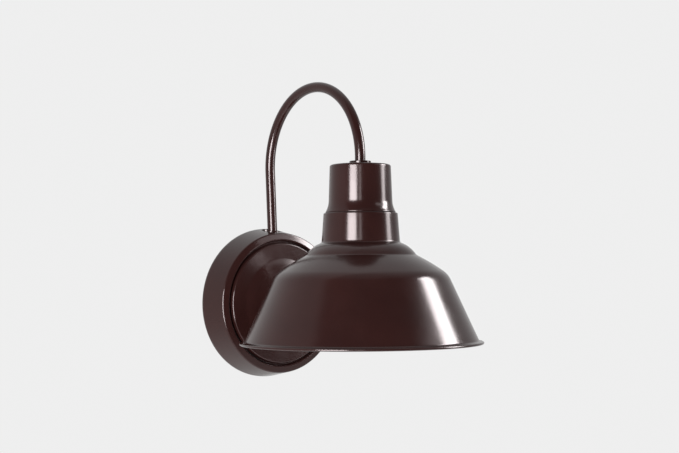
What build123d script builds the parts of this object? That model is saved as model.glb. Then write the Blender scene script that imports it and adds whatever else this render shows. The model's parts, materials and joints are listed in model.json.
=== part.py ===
from build123d import *
import math
import os

os.makedirs("parts", exist_ok=True)

# Gooseneck outdoor wall lantern.
# Frame: the origin is the middle of the wall plate on the wall plane. +Y points into the wall,
# the lantern stands out along -Y, +Z is up, and the lantern is seen from the front along +Y.
# Every piece is its own solid, in millimetres.

# ---- Wall plate (canopy): a stepped steel stamping ----
canopy_radius = 76.2  # outside radius of the back edge
canopy_depth = 33.0  # wall plane to the crest of the front ring
canopy_draw = 5.2  # how far the side wall draws in from back to front
canopy_sheet = 1.0
canopy_hem = 2.0  # straight stretch at the back edge
canopy_corner_radius = 1.8  # where the side wall turns into the front ring
ring_width = 7.2  # the sloping ring round the front
ring_slope = 1.8  # the ring's outside is this far behind its crest
groove_width = 3.2
groove_depth = 4.6  # below the ring's crest
groove_flare = 0.7  # each side of the groove leans in by this much
groove_corner_radius = 0.7
edge_radius = 1.3  # rounds the ring's crest and the raised face's edge
face_rise = 1.0  # the raised face stands this far in front of the ring's crest
face_step_inset = 15.5  # from the raised face's edge to the soft step
face_step_run = 7.0  # width of the soft step
face_step_height = 1.6
face_step_radius = 25.0
dome_rise = 2.4  # from the soft step to the flat at the middle
dome_crown = 0.68  # share of the dome's rise that is reached half way to the flat
dome_blend_radius = 60.0
centre_flat_radius = 12.0

# ---- Wall gasket and junction box crossbar ----
gasket_thickness = 1.5
gasket_width = 6.0
gasket_inset = 0.7  # the gasket's edge is this far inside the canopy's edge
crossbar_length = 108.0
crossbar_width = 20.0
crossbar_thickness = 1.6
box_hole_near = 69.85  # the two standard spacings of junction box screws
box_hole_far = 88.9
box_slot_radius = 2.4
ground_hole_x = 22.0
spare_hole_radius = 2.0
spare_hole_x = 12.5

# ---- Threads, nuts and washers ----
thread_radius = 5.0  # lamp tubing, outside: the arm and the centre nipple
thread_clearance = 0.06  # radial, between a thread and what is screwed on it
nipple_bore = 3.2
hex_width = 14.0  # across flats
hex_chamfer = 0.12  # widening of the chamfer cone at a nut's seat, as a share of its height
hex_chamfer_angle = 6.0
thin_nut_height = 3.0
nut_height = 5.0
lock_washer_radius = 8.2
lock_washer_thickness = 1.0
lock_tooth_count = 12
lock_tooth_depth = 1.2
lock_tooth_gap = 0.9
cap_nut_radius = 9.0
cap_nut_skirt = 4.0
cap_nut_height = 13.0
cap_grip_count = 16
cap_grip_radius = 0.7
cap_thread_clearance = 0.08  # radial, a running fit
cap_thread_depth = 10.0
cap_thread_engaged = 8.0
cap_washer_radius = 10.5
cap_washer_thickness = 1.0
loose_clearance = 0.3  # radial, where a washer slides freely over a thread

# ---- Arm: a gooseneck tube ----
arm_wall = 1.0
shade_reach = 161.0  # wall plane to the axis of the shade
arm_setback = 11.05  # wall plane to the near side of the bend's centre line
bend_height = 138.6  # centre of the bend above the middle of the canopy
neck_drop = 7.0  # straight tube from the bend down to the cup
foot_setback = 14.8  # wall plane to the tube's axis where it enters the canopy
pad_depth = 5.0  # the flat pad under the collar is this far inside the canopy's back edge
foot_thread = 18.0  # length of tube inside the canopy
pad_radius = 9.2
collar_radius = 8.0
collar_height = 2.0

# ---- Socket cup and the pieces in it ----
cup_height = 44.2
cup_top_radius = 28.8
cup_corner_radius = 2.0
cup_flare_height = 10.2  # from the lip up to the waist
cup_waist_radius = 30.0
cup_flare_radius = 22.0
cup_flare_excess = 5.0  # degrees of flare trimmed off flat at the lip
cup_sheet = 1.3
neck_washer_radius = 10.2
neck_washer_height = 3.6
cup_thread = 12.0  # length of tube below the cup's top
bracket_thickness = 1.2
bracket_web = 2.0  # of metal on each side of the hole for the arm
bracket_width = 2 * (thread_radius + bracket_web)
bracket_inside = 18.6  # between the two legs
bracket_foot = 8.0
bracket_hole_inset = 3.6  # from the leg's outside to the screw
screw_radius = 1.7
screw_head_radius = 3.1
screw_head_height = 2.0
screw_head_fillet = 0.8
screw_slot_width = 0.8
screw_length = 8.0
screw_clearance = 0.05

# ---- Lampholder for a medium (26 mm) screw base ----
porcelain_fillet = 1.5
shell_bore = 13.3
shell_wall = 0.45
shell_length = 22.0
shell_inset = 2.0  # from the porcelain's mouth to the brass shell
shell_gap = 0.15
holder_gap = 11.6  # from the arm's end down to the porcelain
holder_drop = 28.2  # from the shade's flange down to the porcelain's mouth
holder_bore_rise = 2.3  # the bore's top is this far above the shade's flange
holder_body_radius = 19.0
shoulder_radius = 27.0
shoulder_height = 6.0
sleeve_radius = 19.75
sleeve_relief = 0.9
sleeve_thread = 12.0
contact_width = 5.0
contact_thickness = 0.5
contact_tip = 2.0
contact_reach = 6.5
contact_fall = 3.6
rivet_radius = 1.5
rivet_length = 5.0

# ---- Shade: one spun steel shell ----
shade_sheet = 1.0
flange_clearance = 0.5  # radial, between the flange and the lampholder's sleeve
band_top_radius = 34.9
band_bottom_radius = 36.9
band_height = 27.8
band_corner_radius = 0.8
shoulder_drop = 11.8  # height of the convex shoulder under the band
shoulder_reach = 15.1
shoulder_bulge = 1.7  # how far the shoulder stands out from its own chord
dome_drop = 18.3
dome_reach = 29.6
dome_bulge = 0.75
knuckle_radius = 11.0
skirt_drop = 61.6
skirt_angle = 24.5  # from the vertical
lip_reach = 3.4
lip_drop = 2.2
rim_bead_radius = 1.25

# ---- Shade ring ----
ring_clearance = 0.08  # radial, a running fit on the sleeve's thread
ring_height = 8.0
ring_hub_wall = 3.2
ring_flange_radius = 28.0
ring_flange_thickness = 2.5
ring_grip_count = 24
ring_grip_radius = 1.1
cup_gasket_thickness = 1.2
cup_gasket_width = 3.6
cup_gasket_inset = 0.5

# ---- Wiring ----
lead_radius = 1.1
lead_offset = 1.7  # of each lead from the tube's centre line
bushing_flange = 1.0
bushing_length = 6.0
bushing_gap = 0.05
bushing_wall = 0.8
lead_spread = 8.0  # from the shade's axis to each lead hole in the porcelain
lead_hole_clearance = 0.1
lead_hole_depth = 9.0
cup_lead_drop = 3.0  # of a lead below the tube before it turns out
connector_radius = 5.5
connector_tip_radius = 3.8
connector_length = 20.0
connector_bore = 2.6
connector_bore_depth = 14.0
connector_spread = 24.0
connector_mouth = 34.0
connector_cover = 8.0  # length of a lead inside its connector
lead_bend = 5.0
wall_run_bend = 4.0
lead_turn = 3.5  # bend of each lead inside the cup
lead_rise = 3.0  # of a lead's last turn above the porcelain
lead_end_gap = 1.0
ground_connector_x = 42.0
ground_rise = 12.0  # of the ground lead above its connector's mouth
ground_step = 8.0  # sideways, where the ground lead leaves the crossbar
ground_setback = 9.0
eyelet_radius = 4.0
eyelet_thickness = 0.8
ground_screw_radius = 1.9
ground_head_radius = 4.2
ground_head_height = 2.4
ground_slot_width = 1.0

# ---- Places that several pieces share ----
# The arm carries the cup, and the cup's lip sets the height of the shade's flange.
arm_bore = thread_radius - arm_wall
cup_top = bend_height - neck_drop
cup_bottom = cup_top - cup_height
cup_waist_height = cup_bottom + cup_flare_height
ledge_height = cup_bottom - cup_gasket_thickness
holder_top = cup_top - cup_thread - holder_gap
holder_mouth = ledge_height - holder_drop
holder_bore_top = ledge_height + holder_bore_rise

# The bend's radius follows from the reach, and the leg is the tangent from the foot to the bend.
bend_radius = (shade_reach - arm_setback) / 2
bend_setback = shade_reach - bend_radius
foot_height = canopy_radius - pad_depth
foot_to_centre = math.hypot(bend_setback - foot_setback, bend_height - foot_height)
centre_slope = math.atan2(bend_height - foot_height, bend_setback - foot_setback)
leg_lean = centre_slope - math.acos(bend_radius / foot_to_centre)
lean_degrees = math.degrees(leg_lean)
leg_up = Vector(0, math.sin(leg_lean), math.cos(leg_lean))
leg_outward = Vector(0, math.cos(leg_lean), -math.sin(leg_lean))
bend_centre = Vector(0, -bend_setback, bend_height)
foot_point = Vector(0, -foot_setback, foot_height)
foot_plane = Plane(origin=foot_point, x_dir=(1, 0, 0), z_dir=leg_up)
arm_foot_end = foot_point - leg_up * foot_thread
arm_cup_end = Vector(0, -shade_reach, cup_top - cup_thread)
shade_axis = Axis((0, -shade_reach, 0), (0, 0, 1))
shade_section = Plane(origin=(0, -shade_reach, 0), x_dir=(1, 0, 0), z_dir=(0, -1, 0))
wall_section = Plane(origin=(0, 0, 0), x_dir=(0, 0, 1), z_dir=(1, 0, 0))
thread_bore = thread_radius + thread_clearance


def shade_level(height):
    """The horizontal plane at this height, centred on the shade's axis."""
    return Plane(origin=(0, -shade_reach, height), x_dir=(1, 0, 0), z_dir=(0, 0, 1))


def wall_level(depth):
    """The plane parallel to the wall at this depth, facing the room."""
    return Plane(origin=(0, -depth, 0), x_dir=(1, 0, 0), z_dir=(0, -1, 0))


def finish(piece, name):
    """Label a finished piece and write its STEP file."""
    piece.part.label = name
    export_step(piece.part, f"parts/{name}.step")


def hex_nut(seat, height):
    """A hexagon nut on a plane, drilled for the lamp thread."""
    with BuildPart() as nut:
        with BuildSketch(seat):
            RegularPolygon(radius=hex_width / 2, side_count=6, major_radius=False)
            Circle(radius=thread_bore, mode=Mode.SUBTRACT)
        extrude(amount=height)
        with BuildSketch(seat):
            Circle(radius=hex_width / 2 + height * hex_chamfer)
        extrude(amount=height, taper=-hex_chamfer_angle, mode=Mode.INTERSECT)
    return nut


def toothed_washer(seat):
    """An internal lock washer with teeth around its outside."""
    with BuildPart() as washer:
        with BuildSketch(seat):
            Circle(radius=lock_washer_radius)
            with PolarLocations(radius=lock_washer_radius, count=lock_tooth_count):
                Rectangle(width=2 * lock_tooth_depth, height=lock_tooth_gap, mode=Mode.SUBTRACT)
            Circle(radius=thread_bore, mode=Mode.SUBTRACT)
        extrude(amount=lock_washer_thickness)
    return washer


def plain_ring(seat, outside, inside, height):
    """A flat ring on a plane."""
    with BuildPart() as ring:
        with BuildSketch(seat):
            Circle(radius=outside)
            Circle(radius=inside, mode=Mode.SUBTRACT)
        extrude(amount=height)
    return ring


# ==== Wall side ====

# Foam gasket between the canopy's edge and the wall.
gasket_radius = canopy_radius - gasket_inset
wall_gasket = plain_ring(wall_level(0), gasket_radius, gasket_radius - gasket_width, gasket_thickness)
finish(wall_gasket, "wall_gasket")

# Crossbar: a steel strap that screws to the junction box and carries the centre nipple.
box_slot_centre = (box_hole_near + box_hole_far) / 4
box_slot_length = (box_hole_far - box_hole_near) / 2 + 2 * box_slot_radius
with BuildPart() as crossbar:
    with BuildSketch(wall_level(0)):
        SlotOverall(width=crossbar_length, height=crossbar_width)
        Circle(radius=thread_bore, mode=Mode.SUBTRACT)
        with GridLocations(2 * box_slot_centre, 0, 2, 1):
            SlotOverall(width=box_slot_length, height=2 * box_slot_radius, mode=Mode.SUBTRACT)
        with Locations((ground_hole_x, 0)):
            Circle(radius=ground_screw_radius + screw_clearance, mode=Mode.SUBTRACT)
        with Locations((-ground_hole_x, 0), (-spare_hole_x, 0)):
            Circle(radius=spare_hole_radius, mode=Mode.SUBTRACT)
    extrude(amount=crossbar_thickness)
finish(crossbar, "crossbar")

# Canopy. Its outline runs from the back edge over the front ring, the groove and the raised face.
side_front_radius = canopy_radius - canopy_draw
hem_level = gasket_thickness + canopy_hem
corner_level = canopy_depth - ring_slope
ring_crest_radius = side_front_radius - ring_width
groove_floor = canopy_depth - groove_depth
face_edge_radius = ring_crest_radius - groove_width
face_level = canopy_depth + face_rise
step_outside = face_edge_radius - face_step_inset
step_radius = step_outside - face_step_run
step_level = face_level + face_step_height
dome_level = step_level + dome_rise
dome_middle = ((step_radius + centre_flat_radius) / 2, step_level + dome_rise * dome_crown)
canopy_corners = [
    (canopy_radius, hem_level, canopy_corner_radius),
    (side_front_radius, corner_level, canopy_corner_radius),
    (ring_crest_radius, canopy_depth, edge_radius),
    (ring_crest_radius - groove_flare, groove_floor, groove_corner_radius),
    (face_edge_radius + groove_flare, groove_floor, groove_corner_radius),
    (face_edge_radius, face_level, edge_radius),
    (step_outside, face_level, face_step_radius),
    (step_radius, step_level, face_step_radius),
    (*dome_middle, dome_blend_radius),
    (centre_flat_radius, dome_level, dome_blend_radius),
]


def canopy_outline():
    """Draw the canopy's outside, as radius and depth, in the current line builder."""
    FilletPolyline(
        (canopy_radius, gasket_thickness),
        *[(radius, depth) for radius, depth, rounding in canopy_corners],
        (0, dome_level),
        radius=[rounding for radius, depth, rounding in canopy_corners],
    )


# The flat pad under the arm is pressed into the side wall, square to the tube. Its skirt ends
# in the middle of the side wall's sheet.
mid_sheet = canopy_sheet / 2
with BuildPart() as arm_pad:
    with BuildSketch(wall_section):
        Polygon(
            (0, gasket_thickness),
            (canopy_radius - mid_sheet, gasket_thickness),
            (canopy_radius - mid_sheet, hem_level),
            (side_front_radius - mid_sheet, corner_level),
            (0, corner_level),
            align=None,
        )
    revolve(axis=Axis.Y)
    with BuildSketch(foot_plane.offset(-canopy_sheet)):
        Circle(radius=pad_radius + canopy_sheet)
    extrude(amount=2 * pad_radius, mode=Mode.INTERSECT)

with BuildPart() as canopy:
    with BuildSketch(wall_section):
        with BuildLine():
            canopy_outline()
            offset(amount=canopy_sheet, side=Side.LEFT)
        make_face()
    revolve(axis=Axis.Y)
    add(arm_pad.part)
    with BuildSketch(foot_plane):
        Circle(radius=pad_radius)
    extrude(amount=pad_radius * 2, mode=Mode.SUBTRACT)
    with BuildSketch(foot_plane):
        Circle(radius=thread_bore)
    extrude(amount=pad_radius, both=True, mode=Mode.SUBTRACT)
    with BuildSketch(wall_level(0)):
        Circle(radius=thread_radius + loose_clearance)
    extrude(amount=canopy_depth * 2, mode=Mode.SUBTRACT)
finish(canopy, "canopy")

# Centre nipple: hollow threaded tube from the crossbar to the cap nut.
cap_seat = dome_level + cap_washer_thickness
nipple_length = cap_seat + cap_thread_engaged
center_nipple = plain_ring(wall_level(0), thread_radius, nipple_bore, nipple_length)
finish(center_nipple, "center_nipple")

nipple_lock_nut = hex_nut(wall_level(crossbar_thickness), thin_nut_height)
finish(nipple_lock_nut, "nipple_lock_nut")

# Rubber washer and domed cap nut that hold the canopy on the nipple from the front.
cap_washer = plain_ring(
    wall_level(dome_level),
    cap_washer_radius,
    thread_radius + loose_clearance,
    cap_washer_thickness,
)
finish(cap_washer, "cap_washer")

with BuildPart() as cap_nut:
    with BuildSketch(wall_section):
        with BuildLine():
            skirt = Line((cap_nut_radius, cap_seat), (cap_nut_radius, cap_seat + cap_nut_skirt))
            crown_end = (0, cap_seat + cap_nut_height)
            crown = Spline(skirt @ 1, crown_end, tangents=[(0, 1), (-1, 0)])
            Polyline(crown @ 1, (0, cap_seat), skirt @ 0)
        make_face()
    revolve(axis=Axis.Y)
    with BuildSketch(wall_level(cap_seat)):
        Circle(radius=thread_radius + cap_thread_clearance)
    extrude(amount=cap_thread_depth, mode=Mode.SUBTRACT)
    with BuildSketch(wall_level(cap_seat)):
        with PolarLocations(radius=cap_nut_radius, count=cap_grip_count):
            Circle(radius=cap_grip_radius)
    extrude(amount=cap_nut_skirt, mode=Mode.SUBTRACT)
finish(cap_nut, "cap_nut")

# Green ground screw in the crossbar, with the eyelet of the ground lead under its head.
eyelet_seat = crossbar_thickness
ground_head_seat = eyelet_seat + eyelet_thickness
with BuildPart() as ground_screw:
    with BuildSketch(wall_level(0)):
        with Locations((ground_hole_x, 0)):
            Circle(radius=ground_screw_radius)
    extrude(amount=ground_head_seat)
    with BuildSketch(wall_level(ground_head_seat)):
        with Locations((ground_hole_x, 0)):
            RegularPolygon(radius=ground_head_radius, side_count=6)
    extrude(amount=ground_head_height)
    with BuildSketch(wall_level(ground_head_seat + ground_head_height)):
        with Locations((ground_hole_x, 0)):
            Rectangle(width=2 * ground_head_radius, height=ground_slot_width)
    extrude(amount=-ground_head_height / 2, mode=Mode.SUBTRACT)
finish(ground_screw, "ground_screw")

# ==== Arm ====


def arm_route(side_shift):
    """Draw the arm's path, or a parallel path inside the tube, in the current line builder."""
    start = arm_foot_end + leg_outward * side_shift
    radius = bend_radius + side_shift
    bend_start = bend_centre + leg_outward * radius
    leg = Line((start.Y, start.Z), (bend_start.Y, bend_start.Z))
    bend = CenterArc((-bend_setback, bend_height), radius, -lean_degrees, 180 + lean_degrees)
    drop = Line(bend @ 1, (-shade_reach - side_shift, arm_cup_end.Z))
    return leg, bend, drop


with BuildPart() as arm_tube:
    with BuildLine(Plane.YZ) as arm_path:
        arm_route(0)
    with BuildSketch(foot_plane.offset(-foot_thread)):
        Circle(radius=thread_radius)
        Circle(radius=arm_bore, mode=Mode.SUBTRACT)
    sweep(path=arm_path.wire())
finish(arm_tube, "arm_tube")

# Collar outside the canopy, lock washer and nut inside it.
canopy_collar = plain_ring(foot_plane, collar_radius, thread_bore, collar_height)
finish(canopy_collar, "canopy_collar")

pad_inside = foot_plane.offset(-canopy_sheet)
foot_lock_washer = toothed_washer(pad_inside.offset(-lock_washer_thickness))
finish(foot_lock_washer, "foot_lock_washer")

foot_nut = hex_nut(pad_inside.offset(-lock_washer_thickness - nut_height), nut_height)
finish(foot_nut, "foot_nut")

# Plastic bushings that keep the leads off the tube's cut ends.
bushing_radius = arm_bore - bushing_gap


def tube_bushing(seat):
    """A flanged bushing pushed into the tube's end; the seat plane faces into the tube."""
    with BuildPart() as bushing:
        with BuildSketch(seat.offset(-bushing_flange)):
            Circle(radius=thread_radius)
        extrude(amount=bushing_flange)
        with BuildSketch(seat):
            Circle(radius=bushing_radius)
        extrude(amount=bushing_length)
        with BuildSketch(seat.offset(-bushing_flange)):
            Circle(radius=bushing_radius - bushing_wall)
        extrude(amount=bushing_flange + bushing_length, mode=Mode.SUBTRACT)
    return bushing


foot_bushing = tube_bushing(foot_plane.offset(-foot_thread))
finish(foot_bushing, "foot_bushing")

cup_bushing = tube_bushing(shade_level(arm_cup_end.Z))
finish(cup_bushing, "cup_bushing")

# ==== Socket cup and what hangs in it ====

neck_washer = plain_ring(shade_level(cup_top), neck_washer_radius, thread_bore, neck_washer_height)
finish(neck_washer, "neck_washer")

# The cup tapers out a little down to its waist and flares from there to its flat lip.
cup_lean = math.atan2(
    cup_waist_radius - cup_top_radius, cup_top - cup_corner_radius - cup_waist_height
)
flare_drop = (cup_waist_height - cup_bottom) / cup_flare_radius
flare_turn = math.asin(math.sin(cup_lean) + flare_drop) - cup_lean
flare_reach = cup_flare_radius * (math.cos(cup_lean) - math.cos(cup_lean + flare_turn))
with BuildPart() as socket_cup:
    with BuildSketch(shade_section):
        with BuildLine():
            top = Line((thread_bore, cup_top), (cup_top_radius - cup_corner_radius, cup_top))
            corner = RadiusArc(
                top @ 1, (cup_top_radius, cup_top - cup_corner_radius), cup_corner_radius
            )
            taper = Line(corner @ 1, (cup_waist_radius, cup_waist_height))
            JernArc(taper @ 1, taper % 1, cup_flare_radius, math.degrees(flare_turn) + cup_flare_excess)
            offset(amount=cup_sheet, side=Side.RIGHT)
        make_face()
    revolve(axis=shade_axis)
    split(bisect_by=shade_level(cup_bottom), keep=Keep.TOP)
finish(socket_cup, "socket_cup")

# Hat-shaped bracket clamped under the cup's top; its feet carry the porcelain lampholder.
bracket_top = cup_top - cup_sheet
bracket_side = bracket_inside / 2
foot_reach = bracket_side + bracket_thickness + bracket_foot
foot_top = holder_top + bracket_thickness
bracket_hole_x = bracket_side + bracket_thickness + bracket_hole_inset
with BuildPart() as lampholder_bracket:
    with BuildSketch(shade_section.offset(-bracket_width / 2)):
        with BuildLine():
            Polyline(
                (-foot_reach, foot_top),
                (-bracket_side - bracket_thickness, foot_top),
                (-bracket_side - bracket_thickness, bracket_top),
                (bracket_side + bracket_thickness, bracket_top),
                (bracket_side + bracket_thickness, foot_top),
                (foot_reach, foot_top),
            )
            offset(amount=bracket_thickness, side=Side.RIGHT, kind=Kind.INTERSECTION)
        make_face()
    extrude(amount=bracket_width)
    with BuildSketch(shade_level(bracket_top)):
        Circle(radius=thread_bore)
    extrude(amount=-bracket_thickness, mode=Mode.SUBTRACT)
    with BuildSketch(shade_level(foot_top)):
        with GridLocations(2 * bracket_hole_x, 0, 2, 1):
            Circle(radius=screw_radius + screw_clearance)
    extrude(amount=-bracket_thickness, mode=Mode.SUBTRACT)
finish(lampholder_bracket, "lampholder_bracket")

cup_washer_seat = bracket_top - bracket_thickness - lock_washer_thickness
cup_lock_washer = toothed_washer(shade_level(cup_washer_seat))
finish(cup_lock_washer, "cup_lock_washer")

cup_nut = hex_nut(shade_level(cup_washer_seat - nut_height), nut_height)
finish(cup_nut, "cup_nut")

with BuildPart() as bracket_screws:
    with BuildSketch(shade_level(foot_top)):
        with GridLocations(2 * bracket_hole_x, 0, 2, 1):
            Circle(radius=screw_head_radius)
    extrude(amount=screw_head_height)
    fillet(bracket_screws.faces().sort_by(Axis.Z)[-2:].edges(), radius=screw_head_fillet)
    with BuildSketch(shade_level(foot_top)):
        with GridLocations(2 * bracket_hole_x, 0, 2, 1):
            Circle(radius=screw_radius)
    extrude(amount=-screw_length)
    with BuildSketch(shade_level(foot_top + screw_head_height)):
        with GridLocations(2 * bracket_hole_x, 0, 2, 1):
            Rectangle(width=2 * screw_head_radius, height=screw_slot_width)
    extrude(amount=-screw_head_height / 2, mode=Mode.SUBTRACT)
finish(bracket_screws, "bracket_screws")

# Porcelain lampholder: a body, a shoulder that rests on the shade and a threaded sleeve.
holder_bore = shell_bore + shell_wall + shell_gap
with BuildPart() as lampholder:
    with BuildSketch(shade_section):
        with BuildLine():
            Polyline(
                (0, holder_top),
                (holder_body_radius, holder_top),
                (holder_body_radius, ledge_height + shoulder_height),
                (shoulder_radius, ledge_height + shoulder_height),
                (shoulder_radius, ledge_height),
                (sleeve_radius, ledge_height),
                (sleeve_radius, ledge_height - sleeve_thread),
                (sleeve_radius - sleeve_relief, ledge_height - sleeve_thread - sleeve_relief),
                (sleeve_radius - sleeve_relief, holder_mouth),
                (holder_bore, holder_mouth),
                (holder_bore, holder_bore_top),
                (0, holder_bore_top),
                close=True,
            )
        make_face()
    revolve(axis=shade_axis)
    top_edge = lampholder.edges().filter_by(GeomType.CIRCLE).sort_by(Axis.Z)[-1]
    shoulder_edge = (
        lampholder.edges()
        .filter_by(GeomType.CIRCLE)
        .filter_by(lambda edge: abs(edge.radius - shoulder_radius) < 0.01)
        .sort_by(Axis.Z)[-1]
    )
    fillet([top_edge, shoulder_edge], radius=porcelain_fillet)
    with BuildSketch(shade_level(holder_top)):
        with GridLocations(2 * bracket_hole_x, 0, 2, 1):
            Circle(radius=screw_radius + screw_clearance)
    extrude(amount=-screw_length, mode=Mode.SUBTRACT)
    with BuildSketch(shade_level(holder_top)):
        with GridLocations(0, 2 * lead_spread, 1, 2):
            Circle(radius=lead_radius + lead_hole_clearance)
    extrude(amount=-lead_hole_depth, mode=Mode.SUBTRACT)
    with BuildSketch(shade_level(holder_bore_top)):
        Circle(radius=rivet_radius)
    extrude(amount=rivet_length, mode=Mode.SUBTRACT)
finish(lampholder, "lampholder")

# Brass screw shell and the sprung centre contact.
shell_bottom = holder_mouth + shell_inset
screw_shell = plain_ring(
    shade_level(shell_bottom), shell_bore + shell_wall, shell_bore, shell_length
)
finish(screw_shell, "screw_shell")

with BuildPart() as center_contact:
    with BuildSketch(shade_section.offset(-contact_width / 2)):
        with BuildLine():
            seat = Line((-contact_reach, holder_bore_top), (rivet_radius, holder_bore_top))
            tongue = Line(seat @ 1, (contact_reach, holder_bore_top - contact_fall))
            Line(tongue @ 1, tongue @ 1 + Vector(contact_tip, contact_thickness))
            offset(amount=contact_thickness, side=Side.RIGHT, kind=Kind.INTERSECTION)
        make_face()
    extrude(amount=contact_width)
    with BuildSketch(shade_level(holder_bore_top)):
        Circle(radius=rivet_radius - screw_clearance)
    extrude(amount=rivet_length)
finish(center_contact, "center_contact")

# Rubber gasket between the cup's lip and the shade's ledge.
cup_gasket_radius = cup_waist_radius + flare_reach - cup_gasket_inset
cup_gasket = plain_ring(
    shade_level(ledge_height),
    cup_gasket_radius,
    cup_gasket_radius - cup_gasket_width,
    cup_gasket_thickness,
)
finish(cup_gasket, "cup_gasket")

# ==== Shade ====
shoulder_top = (band_bottom_radius, ledge_height - band_height)
crease = (band_bottom_radius + shoulder_reach, shoulder_top[1] - shoulder_drop)
knuckle = (crease[0] + dome_reach, crease[1] - dome_drop)
skirt_run = skirt_drop * math.tan(math.radians(skirt_angle))
skirt_end = (knuckle[0] + skirt_run, knuckle[1] - skirt_drop)
lip_end = (skirt_end[0] + lip_reach, skirt_end[1] - lip_drop)
rim_radius = lip_end[0] + rim_bead_radius
rim_bottom = lip_end[1] - rim_bead_radius


def bulged(start, end, bulge):
    """An arc from start to end that stands out from its chord by the bulge, up and outwards."""
    chord = Vector(end[0] - start[0], end[1] - start[1])
    normal = Vector(-chord.Y, chord.X).normalized()
    middle = Vector((start[0] + end[0]) / 2, (start[1] + end[1]) / 2) + normal * bulge
    return ThreePointArc(start, (middle.X, middle.Y), end)


with BuildPart() as shade:
    with BuildSketch(shade_section) as shade_profile:
        with BuildLine() as shade_outline:
            ledge = Line(
                (sleeve_radius + flange_clearance, ledge_height),
                (band_top_radius - band_corner_radius, ledge_height),
            )
            band_corner = RadiusArc(
                ledge @ 1, (band_top_radius, ledge_height - band_corner_radius), band_corner_radius
            )
            band = Line(band_corner @ 1, shoulder_top)
            bulged(shoulder_top, crease, shoulder_bulge)
            dome_arc = bulged(crease, knuckle, dome_bulge)
            skirt_line = Line(knuckle, skirt_end)
            fillet(shade_outline.vertices().sort_by_distance((*knuckle, 0))[0], radius=knuckle_radius)
            Line(skirt_end, lip_end)
            offset(amount=shade_sheet, side=Side.RIGHT)
        make_face()
        with Locations((lip_end[0], lip_end[1])):
            Circle(radius=rim_bead_radius)
    revolve(axis=shade_axis)
finish(shade, "shade")

# Threaded ring that clamps the shade's flange against the lampholder's shoulder.
ring_top = ledge_height - shade_sheet
ring_bore = sleeve_radius + ring_clearance
with BuildPart() as shade_ring:
    with BuildSketch(shade_level(ring_top)):
        Circle(radius=ring_flange_radius)
        with PolarLocations(radius=ring_flange_radius, count=ring_grip_count):
            Circle(radius=ring_grip_radius, mode=Mode.SUBTRACT)
    extrude(amount=-ring_flange_thickness)
    with BuildSketch(shade_level(ring_top)):
        Circle(radius=ring_bore + ring_hub_wall)
    extrude(amount=-ring_height)
    with BuildSketch(shade_level(ring_top)):
        Circle(radius=ring_bore)
    extrude(amount=-ring_height, mode=Mode.SUBTRACT)
finish(shade_ring, "shade_ring")

# ==== Wiring ====
connector_end = connector_mouth - connector_cover


def circuit_lead(side_shift, connector_x):
    """A lead from its connector up through the arm and down into the porcelain."""
    lead_foot = foot_point + leg_outward * side_shift
    leaving = arm_foot_end + leg_outward * side_shift - leg_up * (bushing_flange + lead_bend)
    below_cup = arm_cup_end.Z - bushing_flange - cup_lead_drop
    tube_y = -shade_reach - side_shift
    hole_y = -shade_reach - math.copysign(lead_spread, side_shift)
    hole_floor = holder_top - lead_hole_depth + lead_end_gap
    with BuildPart() as lead:
        with BuildLine() as lead_path:
            wall_run = FilletPolyline(
                (connector_x, -foot_setback, connector_end),
                (connector_x, -foot_setback, connector_mouth + lead_bend),
                (0, leaving.Y, leaving.Z),
                (0, lead_foot.Y, lead_foot.Z),
                radius=wall_run_bend,
            )
            bend_start = bend_centre + leg_outward * (bend_radius + side_shift)
            leg_run = Line(wall_run @ 1, bend_start)
            bend_top = (0, -bend_setback, bend_height + bend_radius + side_shift)
            over = ThreePointArc(leg_run @ 1, bend_top, (0, tube_y, bend_height))
            FilletPolyline(
                over @ 1,
                (0, tube_y, below_cup),
                (0, hole_y, holder_top + lead_rise),
                (0, hole_y, hole_floor),
                radius=lead_turn,
            )
        with BuildSketch(Plane(origin=lead_path.wire() @ 0, z_dir=lead_path.wire() % 0)):
            Circle(radius=lead_radius)
        sweep(path=lead_path.wire())
    return lead


black_lead = circuit_lead(lead_offset, -connector_spread)
finish(black_lead, "black_lead")
white_lead = circuit_lead(-lead_offset, connector_spread)
finish(white_lead, "white_lead")

# Ground lead: an eyelet under the ground screw and a short green lead to its own connector.
lead_level = -(eyelet_seat + lead_radius)
with BuildPart() as ground_lead:
    with BuildSketch(wall_level(eyelet_seat)):
        with Locations((ground_hole_x, 0)):
            Circle(radius=eyelet_radius)
        with Locations((ground_hole_x, eyelet_radius)):
            Rectangle(width=2 * lead_radius, height=eyelet_radius)
        with Locations((ground_hole_x, 0)):
            Circle(radius=ground_screw_radius + screw_clearance, mode=Mode.SUBTRACT)
    extrude(amount=eyelet_thickness)
    with BuildLine() as ground_path:
        FilletPolyline(
            (ground_hole_x, lead_level, eyelet_radius + lead_radius),
            (ground_hole_x, lead_level, connector_mouth / 2),
            (ground_hole_x + ground_step, -ground_setback, connector_mouth + ground_rise),
            (ground_connector_x, -foot_setback, connector_mouth + ground_rise),
            (ground_connector_x, -foot_setback, connector_end),
            radius=lead_bend,
        )
    with BuildSketch(Plane(origin=ground_path.wire() @ 0, z_dir=ground_path.wire() % 0)):
        Circle(radius=lead_radius)
    sweep(path=ground_path.wire())
finish(ground_lead, "ground_lead")

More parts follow.
